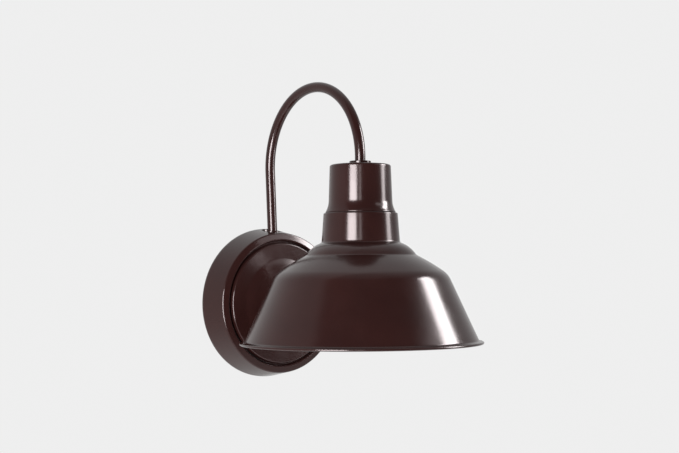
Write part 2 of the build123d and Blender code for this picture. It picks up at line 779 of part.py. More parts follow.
# Twist-on wire connectors, open end up.
connector_taper = math.degrees(
    math.atan((connector_radius - connector_tip_radius) / connector_length)
)
connector_places = [
    (connector_x, -foot_setback)
    for connector_x in (-connector_spread, connector_spread, ground_connector_x)
]
with BuildPart() as wire_connectors:
    with BuildSketch(Plane.XY.offset(connector_mouth)):
        with Locations(*connector_places):
            Circle(radius=connector_radius)
    extrude(amount=-connector_length, taper=connector_taper)
    with BuildSketch(Plane.XY.offset(connector_mouth)):
        with Locations(*connector_places):
            Circle(radius=connector_bore)
    extrude(amount=-connector_bore_depth, mode=Mode.SUBTRACT)
finish(wire_connectors, "wire_connectors")

for name, run in (("bend", bend_radius), ("leg lean", lean_degrees), ("rim", rim_radius)):
    print(f"{name}: {run:.2f}")
print(f"shade hangs from {cup_top:.1f} to {rim_bottom:.1f}")
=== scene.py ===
# %% [markdown]
# # An outdoor wall lantern
# A gooseneck tube carries a socket cup and a spun steel shade in front of a round wall plate.
# The engineering model comes in as a fixed frame. This lesson gives it surfaces that are smooth
# enough for gloss paint, real finishes, soft lamps and a camera.

# %% Load the frame
import json
import math

import bpy
import numpy as np
from mathutils import Matrix, Vector


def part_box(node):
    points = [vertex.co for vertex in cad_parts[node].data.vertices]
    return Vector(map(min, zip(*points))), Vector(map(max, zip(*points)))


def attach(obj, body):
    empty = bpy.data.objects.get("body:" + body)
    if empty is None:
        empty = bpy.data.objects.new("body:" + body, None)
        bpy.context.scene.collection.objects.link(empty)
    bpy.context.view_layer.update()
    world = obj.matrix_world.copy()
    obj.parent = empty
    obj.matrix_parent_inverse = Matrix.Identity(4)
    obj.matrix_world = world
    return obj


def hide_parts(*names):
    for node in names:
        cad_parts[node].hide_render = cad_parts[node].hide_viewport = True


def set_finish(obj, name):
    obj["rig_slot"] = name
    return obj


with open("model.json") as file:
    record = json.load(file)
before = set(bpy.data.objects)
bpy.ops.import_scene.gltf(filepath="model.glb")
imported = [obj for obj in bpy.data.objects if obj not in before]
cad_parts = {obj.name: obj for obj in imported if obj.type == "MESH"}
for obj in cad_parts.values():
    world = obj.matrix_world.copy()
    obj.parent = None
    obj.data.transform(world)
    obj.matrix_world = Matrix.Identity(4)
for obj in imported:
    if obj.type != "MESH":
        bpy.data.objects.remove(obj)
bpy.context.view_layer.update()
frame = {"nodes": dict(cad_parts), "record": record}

MM = 0.001

# %% [markdown]
# ## Where everything is
# Every place is read from the frame's boxes, so a piece always lands on the part it dresses.
# The shade and all that hangs above it are turned about one vertical axis, and the wall plate
# about the line that points out of the wall.

# %% Places read from the frame


def place(node):
    """The lowest and highest corner of a node, as two arrays in millimetres."""
    low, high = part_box(node)
    return np.array(low) / MM, np.array(high) / MM


shade_low, shade_high = place("shade")
shade_centre = (shade_low + shade_high) / 2
rim_radius = (shade_high[0] - shade_low[0]) / 2
shade_y = shade_centre[1]
plate_low, plate_high = place("canopy")
plate_radius = (plate_high[0] - plate_low[0]) / 2
plate_back = -plate_high[1]
lamp_axis = (0, shade_y, 0)
ARM_R, ARM_BORE, THREAD_HOLE_R = 5.0, 4.0, 5.1  # tube, bore, hole over its thread
print("rim radius", round(rim_radius, 2), "plate radius", round(plate_radius, 2))

# %% [markdown]
# ## Profiles
# A turned part is one outline carried round an axis. An outline is written as corners, each with
# the radius that rounds it, because a real edge is never sharp: the small arc is what catches a
# line of light. Sheet metal is the same outline twice, once for each face of the sheet.

# %% Outlines with rounded corners


def arc_points(centre, radius, start, end, count):
    """Points on a circle from one angle to another, in radians."""
    angles = np.linspace(start, end, count)
    return np.array(centre) + radius * np.stack([np.cos(angles), np.sin(angles)], 1)


def rounded(corners, closed=False, arc_steps=10):
    """A polyline whose corners (x, y, radius) are replaced by arcs tangent to both sides."""
    spots = np.array([corner[:2] for corner in corners], float)
    pieces = []
    for number, corner in enumerate(corners):
        at_end = not closed and number in (0, len(corners) - 1)
        radius = corner[2] if len(corner) > 2 else 0.0
        if at_end or radius <= 0:
            pieces.append(spots[number][None])
            continue
        back = spots[number - 1] - spots[number]
        ahead = spots[(number + 1) % len(corners)] - spots[number]
        back = back / np.linalg.norm(back)
        ahead = ahead / np.linalg.norm(ahead)
        half = math.acos(float(np.clip(back @ ahead, -1, 1))) / 2
        middle = (back + ahead) / np.linalg.norm(back + ahead)
        centre = spots[number] + middle * radius / math.sin(half)
        start = spots[number] + back * radius / math.tan(half) - centre
        end = spots[number] + ahead * radius / math.tan(half) - centre
        first = math.atan2(start[1], start[0])
        turn = math.atan2(start[0] * end[1] - start[1] * end[0], start @ end)
        pieces.append(arc_points(centre, radius, first, first + turn, arc_steps))
    return np.concatenate(pieces)


def bow(start, end, bulge, count=24):
    """An arc from start to end that stands out by the bulge to the left of its chord."""
    start, end = np.array(start, float), np.array(end, float)
    chord = end - start
    length = np.linalg.norm(chord)
    normal = np.array([-chord[1], chord[0]]) / length
    radius = (length**2 / 4 + bulge**2) / (2 * bulge)
    centre = (start + end) / 2 + normal * (bulge - radius)
    first = math.atan2(*(start - centre)[::-1])
    last = math.atan2(*(end - centre)[::-1])
    return arc_points(centre, radius, first, last, count)


def soften(line, radius, spot, steps=10):
    """Replace the corner of a dense line nearest to a spot by an arc of about this radius."""
    near = int(np.argmin(np.linalg.norm(line - np.array(spot), axis=1)))
    along = np.concatenate([[0], np.cumsum(np.linalg.norm(np.diff(line, axis=0), axis=1))])
    before, after = along[near] - radius, along[near] + radius
    entry = np.array([np.interp(before, along, line[:, axis]) for axis in (0, 1)])
    leave = np.array([np.interp(after, along, line[:, axis]) for axis in (0, 1)])
    share = np.linspace(0, 1, steps)[:, None]
    curve = (1 - share) ** 2 * entry + 2 * share * (1 - share) * line[near] + share**2 * leave
    return np.concatenate([line[along < before], curve, line[along > after]])


def even(line, longest):
    """Add points so that no step of a polyline is longer than this."""
    steps = np.maximum(1, np.ceil(np.linalg.norm(np.diff(line, axis=0), axis=1) / longest))
    rows = [
        line[i] + (line[i + 1] - line[i]) * np.linspace(0, 1, int(n), endpoint=False)[:, None]
        for i, n in enumerate(steps)
    ]
    return np.concatenate([*rows, line[-1:]])


def thinned(line, longest, bend):
    """Keep one point for each length, or for each bend in degrees, that a dense line goes through."""
    step = np.diff(line, axis=0)
    heading = np.unwrap(np.arctan2(step[:, 1], step[:, 0]))
    turning = np.abs(np.gradient(heading)) / math.radians(bend)
    cost = np.concatenate([[0], np.cumsum(np.linalg.norm(step, axis=1) / longest + turning)])
    stops = np.linspace(0, cost[-1], math.ceil(cost[-1]) + 1)
    return np.stack([np.interp(stops, cost, line[:, axis]) for axis in (0, 1)], 1)


def line_normals(line, closed=False):
    """Unit normals to the left of a polyline, from the chord between each point's neighbours."""
    if closed:
        chord = np.roll(line, -1, 0) - np.roll(line, 1, 0)
    else:
        chord = np.gradient(line, axis=0)
    chord = chord / np.linalg.norm(chord, axis=1)[:, None]
    return np.stack([-chord[:, 1], chord[:, 0]], 1)


def sheet(line, thickness, edge_steps=7):
    """A closed outline of sheet metal: the line, a round edge, the line's other side and an edge."""
    normals = line_normals(line)
    other = line - normals * thickness
    half = thickness / 2
    turn = np.linspace(0, math.pi, edge_steps + 2)[1:-1, None]
    edges = []
    for end, sign in ((-1, 1), (0, -1)):
        middle = (line[end] + other[end]) / 2
        normal = normals[end]
        ahead = np.array([normal[1], -normal[0]]) * sign
        start = normal if sign > 0 else -normal
        edges.append(middle + half * np.cos(turn) * start + abs(half) * np.sin(turn) * ahead)
    return np.concatenate([line, edges[0], other[::-1], edges[1]])


print("a rounded triangle has", len(rounded([(0, 0, 1), (9, 0, 1), (9, 9, 1)], True)), "points")

# %% [markdown]
# ## From a grid of points to a mesh
# Every new piece here is a grid: rows run along the outline and columns run round the axis or
# along the path. Blender guesses a smooth normal from the faces around a point, and that guess
# bends near a long flat face. The grid knows better, so its own normals are handed over, and
# gloss paint then reflects without ripples.

# %% Build a mesh from a grid
pieces = {}


def grid_normals(grid, closed):
    """The cross product of the two directions of the grid at each point."""
    across = np.roll(grid, -1, 1) - np.roll(grid, 1, 1)
    if closed:
        along = np.roll(grid, -1, 0) - np.roll(grid, 1, 0)
    else:
        along = np.gradient(grid, axis=0)
    normals = np.cross(along, across)
    length = np.linalg.norm(normals, axis=2, keepdims=True)
    return normals / np.maximum(length, 1e-15)


def close_poles(grid, index, normals):
    """Make each end row one point, whose normal is the line from the next row to that point."""
    rows = len(grid)
    for row, inner in ((0, 1), (rows - 1, rows - 2)):
        axis = grid[row].mean(0) - grid[inner].mean(0)
        side = np.sign(np.sum(normals[inner].mean(0) * axis)) or 1.0
        normals[row] = side * axis / np.linalg.norm(axis)
        index[row] = index[row, 0]


def grid_faces(index, closed):
    """Four-sided faces between neighbouring points, and triangles where a row is one point."""
    here = index if closed else index[:-1]
    above = np.roll(index, -1, 0)[: len(here)]
    quads = np.stack([here, np.roll(here, -1, 1), np.roll(above, -1, 1), above], -1).reshape(-1, 4)
    flat_first = quads[:, 0] == quads[:, 1]
    flat_last = quads[:, 2] == quads[:, 3]
    triangles = np.concatenate([quads[flat_first][:, [0, 2, 3]], quads[flat_last][:, [0, 1, 2]]])
    return quads[~(flat_first | flat_last)], triangles


def volume_inside(points, quads, triangles):
    """A sixth of the sum of the triangles' triple products, negative if inside out, and a count."""
    fans = np.concatenate([quads[:, [0, 1, 2]], quads[:, [0, 2, 3]], triangles])
    corners = points[fans]
    return np.einsum("ij,ij->", corners[:, 0], np.cross(corners[:, 1], corners[:, 2])) / 6, len(fans)


small_grid = np.arange(12).reshape(3, 4)
print("a tube of 3 rows and 4 columns has", len(grid_faces(small_grid, False)[0]), "faces")

# %% Fill a mesh and hang it on its body


def fill_mesh(name, points, normals, quads, triangles):
    """A smooth mesh of these faces, with the grid's own normals at its points."""
    used, packed = np.unique(np.concatenate([quads.ravel(), triangles.ravel()]), return_inverse=True)
    loops = packed.astype(np.int32)
    mesh = bpy.data.meshes.new(name)
    mesh.vertices.add(len(used))
    mesh.vertices.foreach_set("co", points[used].astype(np.float32).ravel())
    mesh.loops.add(len(loops))
    mesh.loops.foreach_set("vertex_index", loops)
    sizes = np.concatenate([np.full(len(quads), 4), np.full(len(triangles), 3)])
    starts = np.concatenate([[0], np.cumsum(sizes)[:-1]]).astype(np.int32)
    mesh.polygons.add(len(sizes))
    mesh.polygons.foreach_set("loop_start", starts)
    mesh.update(calc_edges=True)
    mesh.shade_smooth()
    face = np.zeros(len(sizes) * 3, np.float32)
    mesh.polygons.foreach_get("normal", face)
    normals = normals[used]
    if np.sum(normals[loops[starts]] * face.reshape(-1, 3)) < 0:
        normals = -normals
    mesh.normals_split_custom_set_from_vertices(normals.astype(np.float32))
    return mesh


def grid_piece(name, grid, body, slot, stands_for=(), closed=True):
    """A closed piece from grid[i, j] in millimetres; j always runs all the way round."""
    index = np.arange(grid.shape[0] * grid.shape[1]).reshape(grid.shape[:2])
    normals = grid_normals(grid, closed)
    if not closed:
        close_poles(grid, index, normals)
    quads, triangles = grid_faces(index, closed)
    points = grid.reshape(-1, 3) * MM
    volume, count = volume_inside(points, quads, triangles)
    if volume < 0:
        quads, triangles = quads[:, ::-1], triangles[:, ::-1]
    mesh = fill_mesh(name, points, normals.reshape(-1, 3), quads, triangles)
    piece = bpy.data.objects.new(name, mesh)
    bpy.context.scene.collection.objects.link(piece)
    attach(piece, body)
    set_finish(piece, slot)
    if stands_for:
        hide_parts(*stands_for)
    pieces[name] = piece
    print(f"{name}: {count} triangles, {abs(volume) * 1e6:.2f} cm3")


def turned(outline, columns, centre=(0, 0, 0), axis="z"):
    """Carry an outline of (radius, height) round an axis: height runs up, or out of the wall."""
    angle = np.linspace(0, 2 * math.pi, columns, endpoint=False)[None]
    radius, height = outline[:, 0, None], outline[:, 1, None]
    level = np.broadcast_to(height, (len(outline), columns))
    if axis == "z":
        grid = np.stack([radius * np.cos(angle), radius * np.sin(angle), level], -1)
    else:
        grid = np.stack([radius * np.cos(angle), -level, radius * np.sin(angle)], -1)
    return grid + np.array(centre, float)


print("an outline of 2 points in 8 columns is a grid of", turned(np.ones((2, 2)), 8).shape)

# %% [markdown]
# ## The shade
# The real one is a disc of steel spun over a wooden form: a neck band, a convex shoulder, a
# crease, a shallow dome and a straight skirt that ends in a lip and a rolled wire edge. The
# outline is laid down from the neck to the lip on closely spaced points, its corners are softened,
# and the points are then thinned out, so that there are many in a curve and few on a straight.

# %% The shade's outline
SHADE_SHEET = 1.0
LEDGE_Z = shade_high[2]
BAND_TOP_R, BAND_CORNER = 34.9, 1.25
BAND_BOTTOM = (36.9, 58.4)
CREASE = (52.0, 46.6)
KNUCKLE = (81.6, 28.3)
SKIRT_END_Z = -33.3
SKIRT_LEAN = math.tan(math.radians(24.5))
SHOULDER_BULGE, DOME_BULGE = 1.7, 0.75
SOFT_BAND, SOFT_CREASE, SOFT_KNUCKLE, LIP_CORNER = 1.6, 1.2, 5.5, 2.2
RIM_BEAD, LIP_MEETS_BEAD = 1.25, (-1.0, 1.1)
FLANGE_R = 20.25

skirt_end = (KNUCKLE[0] + (KNUCKLE[1] - SKIRT_END_Z) * SKIRT_LEAN, SKIRT_END_Z)
bead_centre = np.array([rim_radius - RIM_BEAD, shade_low[2] + RIM_BEAD])
shoulder = bow(BAND_BOTTOM, CREASE, SHOULDER_BULGE)
dome = bow(CREASE, KNUCKLE, DOME_BULGE)
neck = rounded([(FLANGE_R, LEDGE_Z), (BAND_TOP_R, LEDGE_Z, BAND_CORNER), BAND_BOTTOM])
skirt = rounded([KNUCKLE, (*skirt_end, LIP_CORNER), bead_centre + np.array(LIP_MEETS_BEAD)])
shade_line = even(np.concatenate([neck[:-1], shoulder, dome[1:], skirt[1:]]), longest=0.4)
shade_line = soften(shade_line, SOFT_BAND, BAND_BOTTOM)
shade_line = soften(shade_line, SOFT_CREASE, CREASE)
shade_line = soften(shade_line, SOFT_KNUCKLE, KNUCKLE, steps=24)
shade_line = thinned(shade_line, longest=3.5, bend=5.5)
print("shade outline:", len(shade_line), "points from the flange to the lip")

# %% [markdown]
# The rim is the sheet rolled round a wire. The outline stops where the sheet meets the roll, a
# circle goes round from there, and the inside of the sheet runs back up to the neck.

# %% Roll the rim and give the shade its thickness
lip = bead_centre - np.array(skirt_end)
lip = lip / np.linalg.norm(lip)
lip_left = np.array([-lip[1], lip[0]])
meet = math.sqrt(RIM_BEAD**2 - (SHADE_SHEET / 2) ** 2)
shade_line[-1] = bead_centre - lip * meet + lip_left * SHADE_SHEET / 2
inner_line = (shade_line - line_normals(shade_line) * SHADE_SHEET)[::-1]
inner_line[0] = bead_centre - lip * meet - lip_left * SHADE_SHEET / 2
away = math.atan2(-lip[1], -lip[0])
gap = math.asin(SHADE_SHEET / 2 / RIM_BEAD)
rim_roll = arc_points(bead_centre, RIM_BEAD, away - gap, away + gap - 2 * math.pi, 22)[1:-1]
shade_outline = np.concatenate([shade_line, rim_roll, inner_line])
grid_piece(
    "spun_shade", turned(shade_outline, 400, lamp_axis), "shade", "bronze_paint", ["shade"]
)

# %% [markdown]
# ## The socket cup and its washer
# The cup is drawn from sheet too. It tapers a little, then flares like a bell to a flat lip that
# sits on a rubber ring. The flare is one arc, so its reflection closes up smoothly.

# %% Draw the cup
cup_low, cup_high = place("socket_cup")
CUP_SHEET = 1.3
CUP_TOP_R, CUP_CORNER, CUP_WAIST_R, CUP_WAIST_Z, CUP_FLARE = 28.8, 2.0, 30.0, 97.6, 22.0
lean = math.atan2(CUP_WAIST_R - CUP_TOP_R, cup_high[2] - CUP_CORNER - CUP_WAIST_Z)
flare_centre = (
    CUP_WAIST_R + CUP_FLARE * math.cos(lean),
    CUP_WAIST_Z + CUP_FLARE * math.sin(lean),
)
flare_end = math.asin((flare_centre[1] - cup_low[2]) / CUP_FLARE)
cup_top = rounded(
    [(THREAD_HOLE_R, cup_high[2]), (CUP_TOP_R, cup_high[2], CUP_CORNER), (CUP_WAIST_R, CUP_WAIST_Z)]
)
cup_flare = arc_points(flare_centre, CUP_FLARE, math.pi + lean, math.pi + flare_end, 20)
cup_line = even(np.concatenate([cup_top[:-1], cup_flare]), longest=1.2)
grid_piece(
    "drawn_cup",
    turned(sheet(cup_line, CUP_SHEET), 256, lamp_axis),
    "fixture",
    "bronze_paint",
    ["socket_cup"],
)


def washer_outline(inside, outside, low, high, edge):
    """The closed section of a flat ring with rounded edges."""
    corners = [(inside, low), (outside, low), (outside, high), (inside, high)]
    return rounded([(*corner, edge) for corner in corners], closed=True, arc_steps=6)


washer_low, washer_high = place("neck_washer")
washer_r = (washer_high[0] - washer_low[0]) / 2
neck_ring = washer_outline(THREAD_HOLE_R, washer_r, washer_low[2], washer_high[2], edge=0.5)
grid_piece(
    "neck_ring", turned(neck_ring, 96, lamp_axis), "fixture", "bronze_paint", ["neck_washer"]
)
SEAL_W = 3.6
gasket_low, gasket_high = place("cup_gasket")
gasket_r = (gasket_high[0] - gasket_low[0]) / 2
seal = washer_outline(gasket_r - SEAL_W, gasket_r, gasket_low[2], gasket_high[2], edge=0.35)
grid_piece("cup_seal", turned(seal, 160, lamp_axis), "fixture", "rubber_seal", ["cup_gasket"])

# %% [markdown]
# ## The wall plate
# A deep stamping: a straight hem, a side wall that draws in, a sloping ring, a groove, a raised
# face with a soft step and a shallow dome. Where the arm stands, a punch has pressed a small flat
# into the side wall. The plate is turned first, and then the points under the punch are pushed
# down to the flat, with a short smooth skirt round it. The side wall keeps its points closer
# together than the front, because the punch bends it.

# %% The wall plate's outline
PLATE_SHEET = 1.0
HEM, DRAW, CORNER_R = 2.0, 5.2, 1.8
CREST, RING_W, RING_SLOPE, EDGE_R = 33.0, 7.2, 1.8, 1.3
GROOVE_W, GROOVE_D, GROOVE_FLARE, GROOVE_R = 3.2, 4.6, 0.7, 0.7
FACE_RISE, STEP_INSET, STEP_RUN, STEP_H, STEP_R = 1.0, 15.5, 7.0, 1.6, 3.0
DOME_RISE, DOME_CROWN, DOME_R, FLAT_R, NIPPLE_HOLE_R = 2.4, 0.68, 60.0, 12.0, 5.35
side_r = plate_radius - DRAW
crest_r = side_r - RING_W
face_r = crest_r - GROOVE_W
face_level = CREST + FACE_RISE
step_out = face_r - STEP_INSET
step_in = step_out - STEP_RUN
step_level = face_level + STEP_H
dome_level = step_level + DOME_RISE
plate_line = rounded(
    [
        (plate_radius, plate_back),
        (plate_radius, plate_back + HEM, CORNER_R),
        (side_r, CREST - RING_SLOPE, CORNER_R),
        (crest_r, CREST, EDGE_R),
        (crest_r - GROOVE_FLARE, CREST - GROOVE_D, GROOVE_R),
        (face_r + GROOVE_FLARE, CREST - GROOVE_D, GROOVE_R),
        (face_r, face_level, EDGE_R),
        (step_out, face_level, STEP_R),
        (step_in, step_level, DOME_R),
        ((step_in + FLAT_R) / 2, step_level + DOME_RISE * DOME_CROWN, DOME_R),
        (FLAT_R, dome_level, DOME_R),
        (NIPPLE_HOLE_R, dome_level),
    ],
    arc_steps=14,
)
plate_line = even(plate_line, longest=0.3)
side_rows = plate_line[:, 1] < CREST - RING_SLOPE - CORNER_R
side_end = int(np.argmin(side_rows))
side_line = thinned(plate_line[:side_end], longest=0.9, bend=8.0)
front_line = thinned(plate_line[side_end:], longest=2.5, bend=8.0)
plate_line = np.concatenate([side_line[:-1], front_line])
plate_grid = turned(sheet(plate_line, -PLATE_SHEET), 360, axis="y")
print("wall plate:", len(side_line), "points on the side,", len(front_line), "on the front")

# %% [markdown]
# The arm's line comes before the pad, because the pad is square to it. The bend spans from the
# back of the arm to the shade's axis, so its radius follows from the frame. The straight leg is
# the tangent to that bend which passes through the collar.

# %% Where the arm's leg stands
collar_low, collar_high = place("canopy_collar")
arm_low, arm_high = place("arm_tube")
COLLAR_R, COLLAR_H = 8.0, 2.0
bend_r = (-shade_y - (ARM_R - arm_high[1])) / 2
bend_mid = np.array([0.0, shade_y + bend_r, arm_high[2] - ARM_R - bend_r])
collar_mid = (collar_low + collar_high) / 2
foot_run = collar_mid - bend_mid
slope = math.atan2(-foot_run[2], foot_run[1])
leg_lean = slope - math.acos(bend_r / np.linalg.norm(foot_run))
leg_up = np.array([0.0, math.sin(leg_lean), math.cos(leg_lean)])
leg_out = np.array([0.0, math.cos(leg_lean), -math.sin(leg_lean)])
foot = collar_mid - leg_up * COLLAR_H / 2
print("bend radius", round(bend_r, 2), "leg leans", round(math.degrees(leg_lean), 2), "degrees")

# %% [markdown]
# The punch is a flat disc square to the leg. Points inside it go down to the flat, and over a
# short skirt the push fades out on a smooth step: three times the square less twice the cube.

# %% Press the pad
PAD_R, PAD_SKIRT = 9.2, 1.6
offset_from_foot = plate_grid - foot
height = offset_from_foot @ leg_up
sideways = np.linalg.norm(offset_from_foot - height[..., None] * leg_up, axis=2)
rows_outside = len(plate_line)
floor_level = np.where(np.arange(plate_grid.shape[0])[:, None] < rows_outside, 0.0, -PLATE_SHEET)
pressed = np.clip((PAD_R + PAD_SKIRT - sideways) / PAD_SKIRT, 0, 1)
pressed = pressed * pressed * (3 - 2 * pressed)
push = np.clip(height - floor_level, 0, None) * pressed
plate_grid = plate_grid - push[..., None] * leg_up
grid_piece("stamped_plate", plate_grid, "fixture", "bronze_paint", ["canopy"])

FOAM_W = 6.0
gasket_low, gasket_high = place("wall_gasket")
foam_r = (gasket_high[0] - gasket_low[0]) / 2
foam = washer_outline(foam_r - FOAM_W, foam_r, -gasket_high[1], -gasket_low[1], edge=0.4)
grid_piece("foam_ring", turned(foam, 200, axis="y"), "fixture", "foam_seal", ["wall_gasket"])

# %% [markdown]
# ## The gooseneck
# A tube bent once over a round former. Its centre line is a straight leg, more than half a circle
# and a short drop into the cup, all tangent to each other. The tube is a grid of rings along that
# line: down the outside, round the cut end and back along the bore.

# %% Bend the arm
BUSHING_LIP = 1.0  # the bushing stands out of the tube's end by this much


def arm_line(step):
    """Points and unit tangents along the arm's centre line, from the wall plate to the cup."""
    foot_end_z = arm_low[2] + ARM_R * math.sin(leg_lean)
    cup_end_z = place("cup_bushing")[0][2] + BUSHING_LIP
    leg_end = bend_mid + leg_out * bend_r
    leg_start = leg_end - leg_up * (leg_end[2] - foot_end_z) / leg_up[2]
    leg_steps = max(2, int(np.linalg.norm(leg_end - leg_start) / step))
    leg = leg_start + (leg_end - leg_start) * np.linspace(0, 1, leg_steps, endpoint=False)[:, None]
    turn = np.linspace(-leg_lean, math.pi, int((math.pi + leg_lean) * bend_r / step))
    bend = bend_mid + bend_r * np.stack([0 * turn, np.cos(turn), np.sin(turn)], 1)
    drop = np.linspace(bend[-1][2], cup_end_z, max(2, int((bend[-1][2] - cup_end_z) / step)))[1:]
    drop = np.stack([0 * drop, shade_y + 0 * drop, drop], 1)
    line = np.concatenate([leg, bend, drop])
    tangents = np.concatenate(
        [
            np.broadcast_to(leg_up, leg.shape),
            np.stack([0 * turn, -np.sin(turn), np.cos(turn)], 1),
            np.broadcast_to([0.0, 0.0, -1.0], drop.shape),
        ]
    )
    return line, tangents


def ring_grid(line, tangents, radii, columns):
    """A ring of points round each point of a line that lies in the plane of x = 0."""
    angle = np.linspace(0, 2 * math.pi, columns, endpoint=False)[None, :, None]
    side = np.array([1.0, 0.0, 0.0])
    across = np.cross(tangents, side)[:, None]
    radii = np.asarray(radii, float).reshape(-1, 1, 1)
    return line[:, None] + radii * (np.cos(angle) * side + np.sin(angle) * across)


centre_line, centre_tangents = arm_line(step=1.6)
there_and_back = np.concatenate([centre_line, centre_line[::-1]])
tube_tangents = np.concatenate([centre_tangents, centre_tangents[::-1]])
tube_radii = np.concatenate([np.full(len(centre_line), ARM_R), np.full(len(centre_line), ARM_BORE)])
tube_grid = ring_grid(there_and_back, tube_tangents, tube_radii, 72)
grid_piece("gooseneck", tube_grid, "fixture", "bronze_paint", ["arm_tube"])


def on_leg(outline, columns):
    """Turn an outline of (radius, height above the pad) round the leaning leg."""
    line = foot + outline[:, 1, None] * leg_up
    return ring_grid(line, np.broadcast_to(leg_up, line.shape), outline[:, 0], columns)


foot_ring = washer_outline(THREAD_HOLE_R, COLLAR_R, 0.0, COLLAR_H, edge=0.55)
grid_piece("foot_ring", on_leg(foot_ring, 96), "fixture", "bronze_paint", ["canopy_collar"])

# %% [markdown]
# ## Under the shade
# Seen from below, the throat of the shade holds a turned aluminium ring with finger grips, a
# porcelain lampholder with a thread for that ring, and a brass shell whose rolled thread takes
# the lamp. A thread is a circle whose radius rises and falls along the axis, with the wave
# shifted a little at every angle, so one formula gives a true helix.

# %% Porcelain lampholder
holder_low, holder_high = place("lampholder")
SLEEVE_R, BODY_R, SHOULDER_R, SHOULDER_H = 19.75, 19.0, 27.0, 6.0
SLEEVE_THREAD, RELIEF = 12.0, 0.9
HOLDER_BORE, BORE_TOP = 13.9, 88.5
porcelain = rounded(
    [
        (0, holder_high[2]),
        (BODY_R, holder_high[2], 1.5),
        (BODY_R, LEDGE_Z + SHOULDER_H, 1.0),
        (SHOULDER_R, LEDGE_Z + SHOULDER_H, 1.5),
        (SHOULDER_R, LEDGE_Z, 0.8),
        (SLEEVE_R, LEDGE_Z, 0.4),
        (SLEEVE_R, LEDGE_Z - SLEEVE_THREAD, 0.4),
        (SLEEVE_R - RELIEF, LEDGE_Z - SLEEVE_THREAD - RELIEF, 0.4),
        (SLEEVE_R - RELIEF, holder_low[2], 1.1),
        (HOLDER_BORE, holder_low[2], 1.1),
        (HOLDER_BORE, BORE_TOP, 0.8),
        (0, BORE_TOP),
    ],
    arc_steps=7,
)
porcelain = even(porcelain, longest=0.5)
holder_grid = turned(porcelain, 180, lamp_axis)


def cut_thread(grid, centre, rows, pitch, depth, fade):
    """Sink a helical groove into the given rows of a grid turned about a vertical axis."""
    arm = grid[rows] - np.array([*centre, 0.0])
    radius = np.linalg.norm(arm[..., :2], axis=2)
    angle = np.arctan2(arm[..., 1], arm[..., 0])
    level = arm[..., 2]
    wave = 0.5 - 0.5 * np.cos(2 * math.pi * level / pitch - angle)
    ends = np.clip((level - level.min()) / fade, 0, 1) * np.clip((level.max() - level) / fade, 0, 1)
    shrink = 1 - depth * wave * ends / radius
    grid[rows, :, 0] = centre[0] + arm[..., 0] * shrink
    grid[rows, :, 1] = centre[1] + arm[..., 1] * shrink


sleeve_rows = np.flatnonzero(
    (np.abs(porcelain[:, 0] - SLEEVE_R) < 0.01) & (porcelain[:, 1] < LEDGE_Z - 0.5)
)
cut_thread(holder_grid, lamp_axis[:2], sleeve_rows, pitch=2.0, depth=0.45, fade=1.0)
grid_piece(
    "porcelain_holder", holder_grid, "fixture", "porcelain", ["lampholder"], closed=False
)

# %% Brass shell with its rolled thread
SHELL_SHEET, SHELL_ROWS = 0.25, 80
shell_low, shell_high = place("screw_shell")
shell_radius = np.full(SHELL_ROWS, (shell_high[0] - shell_low[0]) / 2)
shell_heights = np.linspace(shell_low[2], shell_high[2], SHELL_ROWS)
brass_line = np.stack([shell_radius, shell_heights], 1)
brass_grid = turned(
    np.concatenate([brass_line, (brass_line - [SHELL_SHEET, 0])[::-1]]), 120, lamp_axis
)
for one_face in np.arange(2 * SHELL_ROWS).reshape(2, SHELL_ROWS):
    cut_thread(brass_grid, lamp_axis[:2], one_face, pitch=3.63, depth=0.55, fade=2.0)
grid_piece("rolled_shell", brass_grid, "fixture", "brass", ["screw_shell"])

# %% Ring with finger grips
ring_low, ring_high = place("shade_ring")
RING_BORE, RING_HUB, RING_FLANGE_R, RING_FLANGE_H, RING_GRIPS = 19.83, 23.03, 28.0, 2.5, 24
ring_section = rounded(
    [
        (RING_BORE, ring_high[2], 0.3),
        (RING_FLANGE_R, ring_high[2], 0.5),
        (RING_FLANGE_R, ring_high[2] - RING_FLANGE_H, 0.7),
        (RING_HUB, ring_high[2] - RING_FLANGE_H, 0.8),
        (RING_HUB, ring_low[2], 0.6),
        (RING_BORE, ring_low[2], 0.6),
    ],
    closed=True,
    arc_steps=6,
)
ring_section = even(np.concatenate([ring_section, ring_section[:1]]), longest=0.8)[:-1]
RING_COLUMNS, GRIP_DEPTH, GRIP_START = 384, 1.1, 0.35
ring_grid_points = turned(ring_section, RING_COLUMNS)
around = np.linspace(0, 2 * math.pi, RING_COLUMNS, endpoint=False)[None]
grip = np.clip(np.cos(RING_GRIPS * around) - GRIP_START, 0, 1) / (1 - GRIP_START)
reach = np.clip((ring_section[:, 0, None] - RING_HUB) / (RING_FLANGE_R - RING_HUB), 0, 1)
squeeze = 1 - GRIP_DEPTH * grip * reach**2 / ring_section[:, 0, None]
ring_grid_points[..., 0] *= squeeze
ring_grid_points[..., 1] *= squeeze
ring_grid_points[..., 1] += shade_y
grid_piece("finger_ring", ring_grid_points, "ring", "ring_metal", ["shade_ring"])

# %% [markdown]
# ## Cap nut and its washer
# A domed nut with a fluted skirt closes the middle of the wall plate. It is turned about the line
# out of the wall, and its flutes are a ripple in the radius that fades out towards the crown.

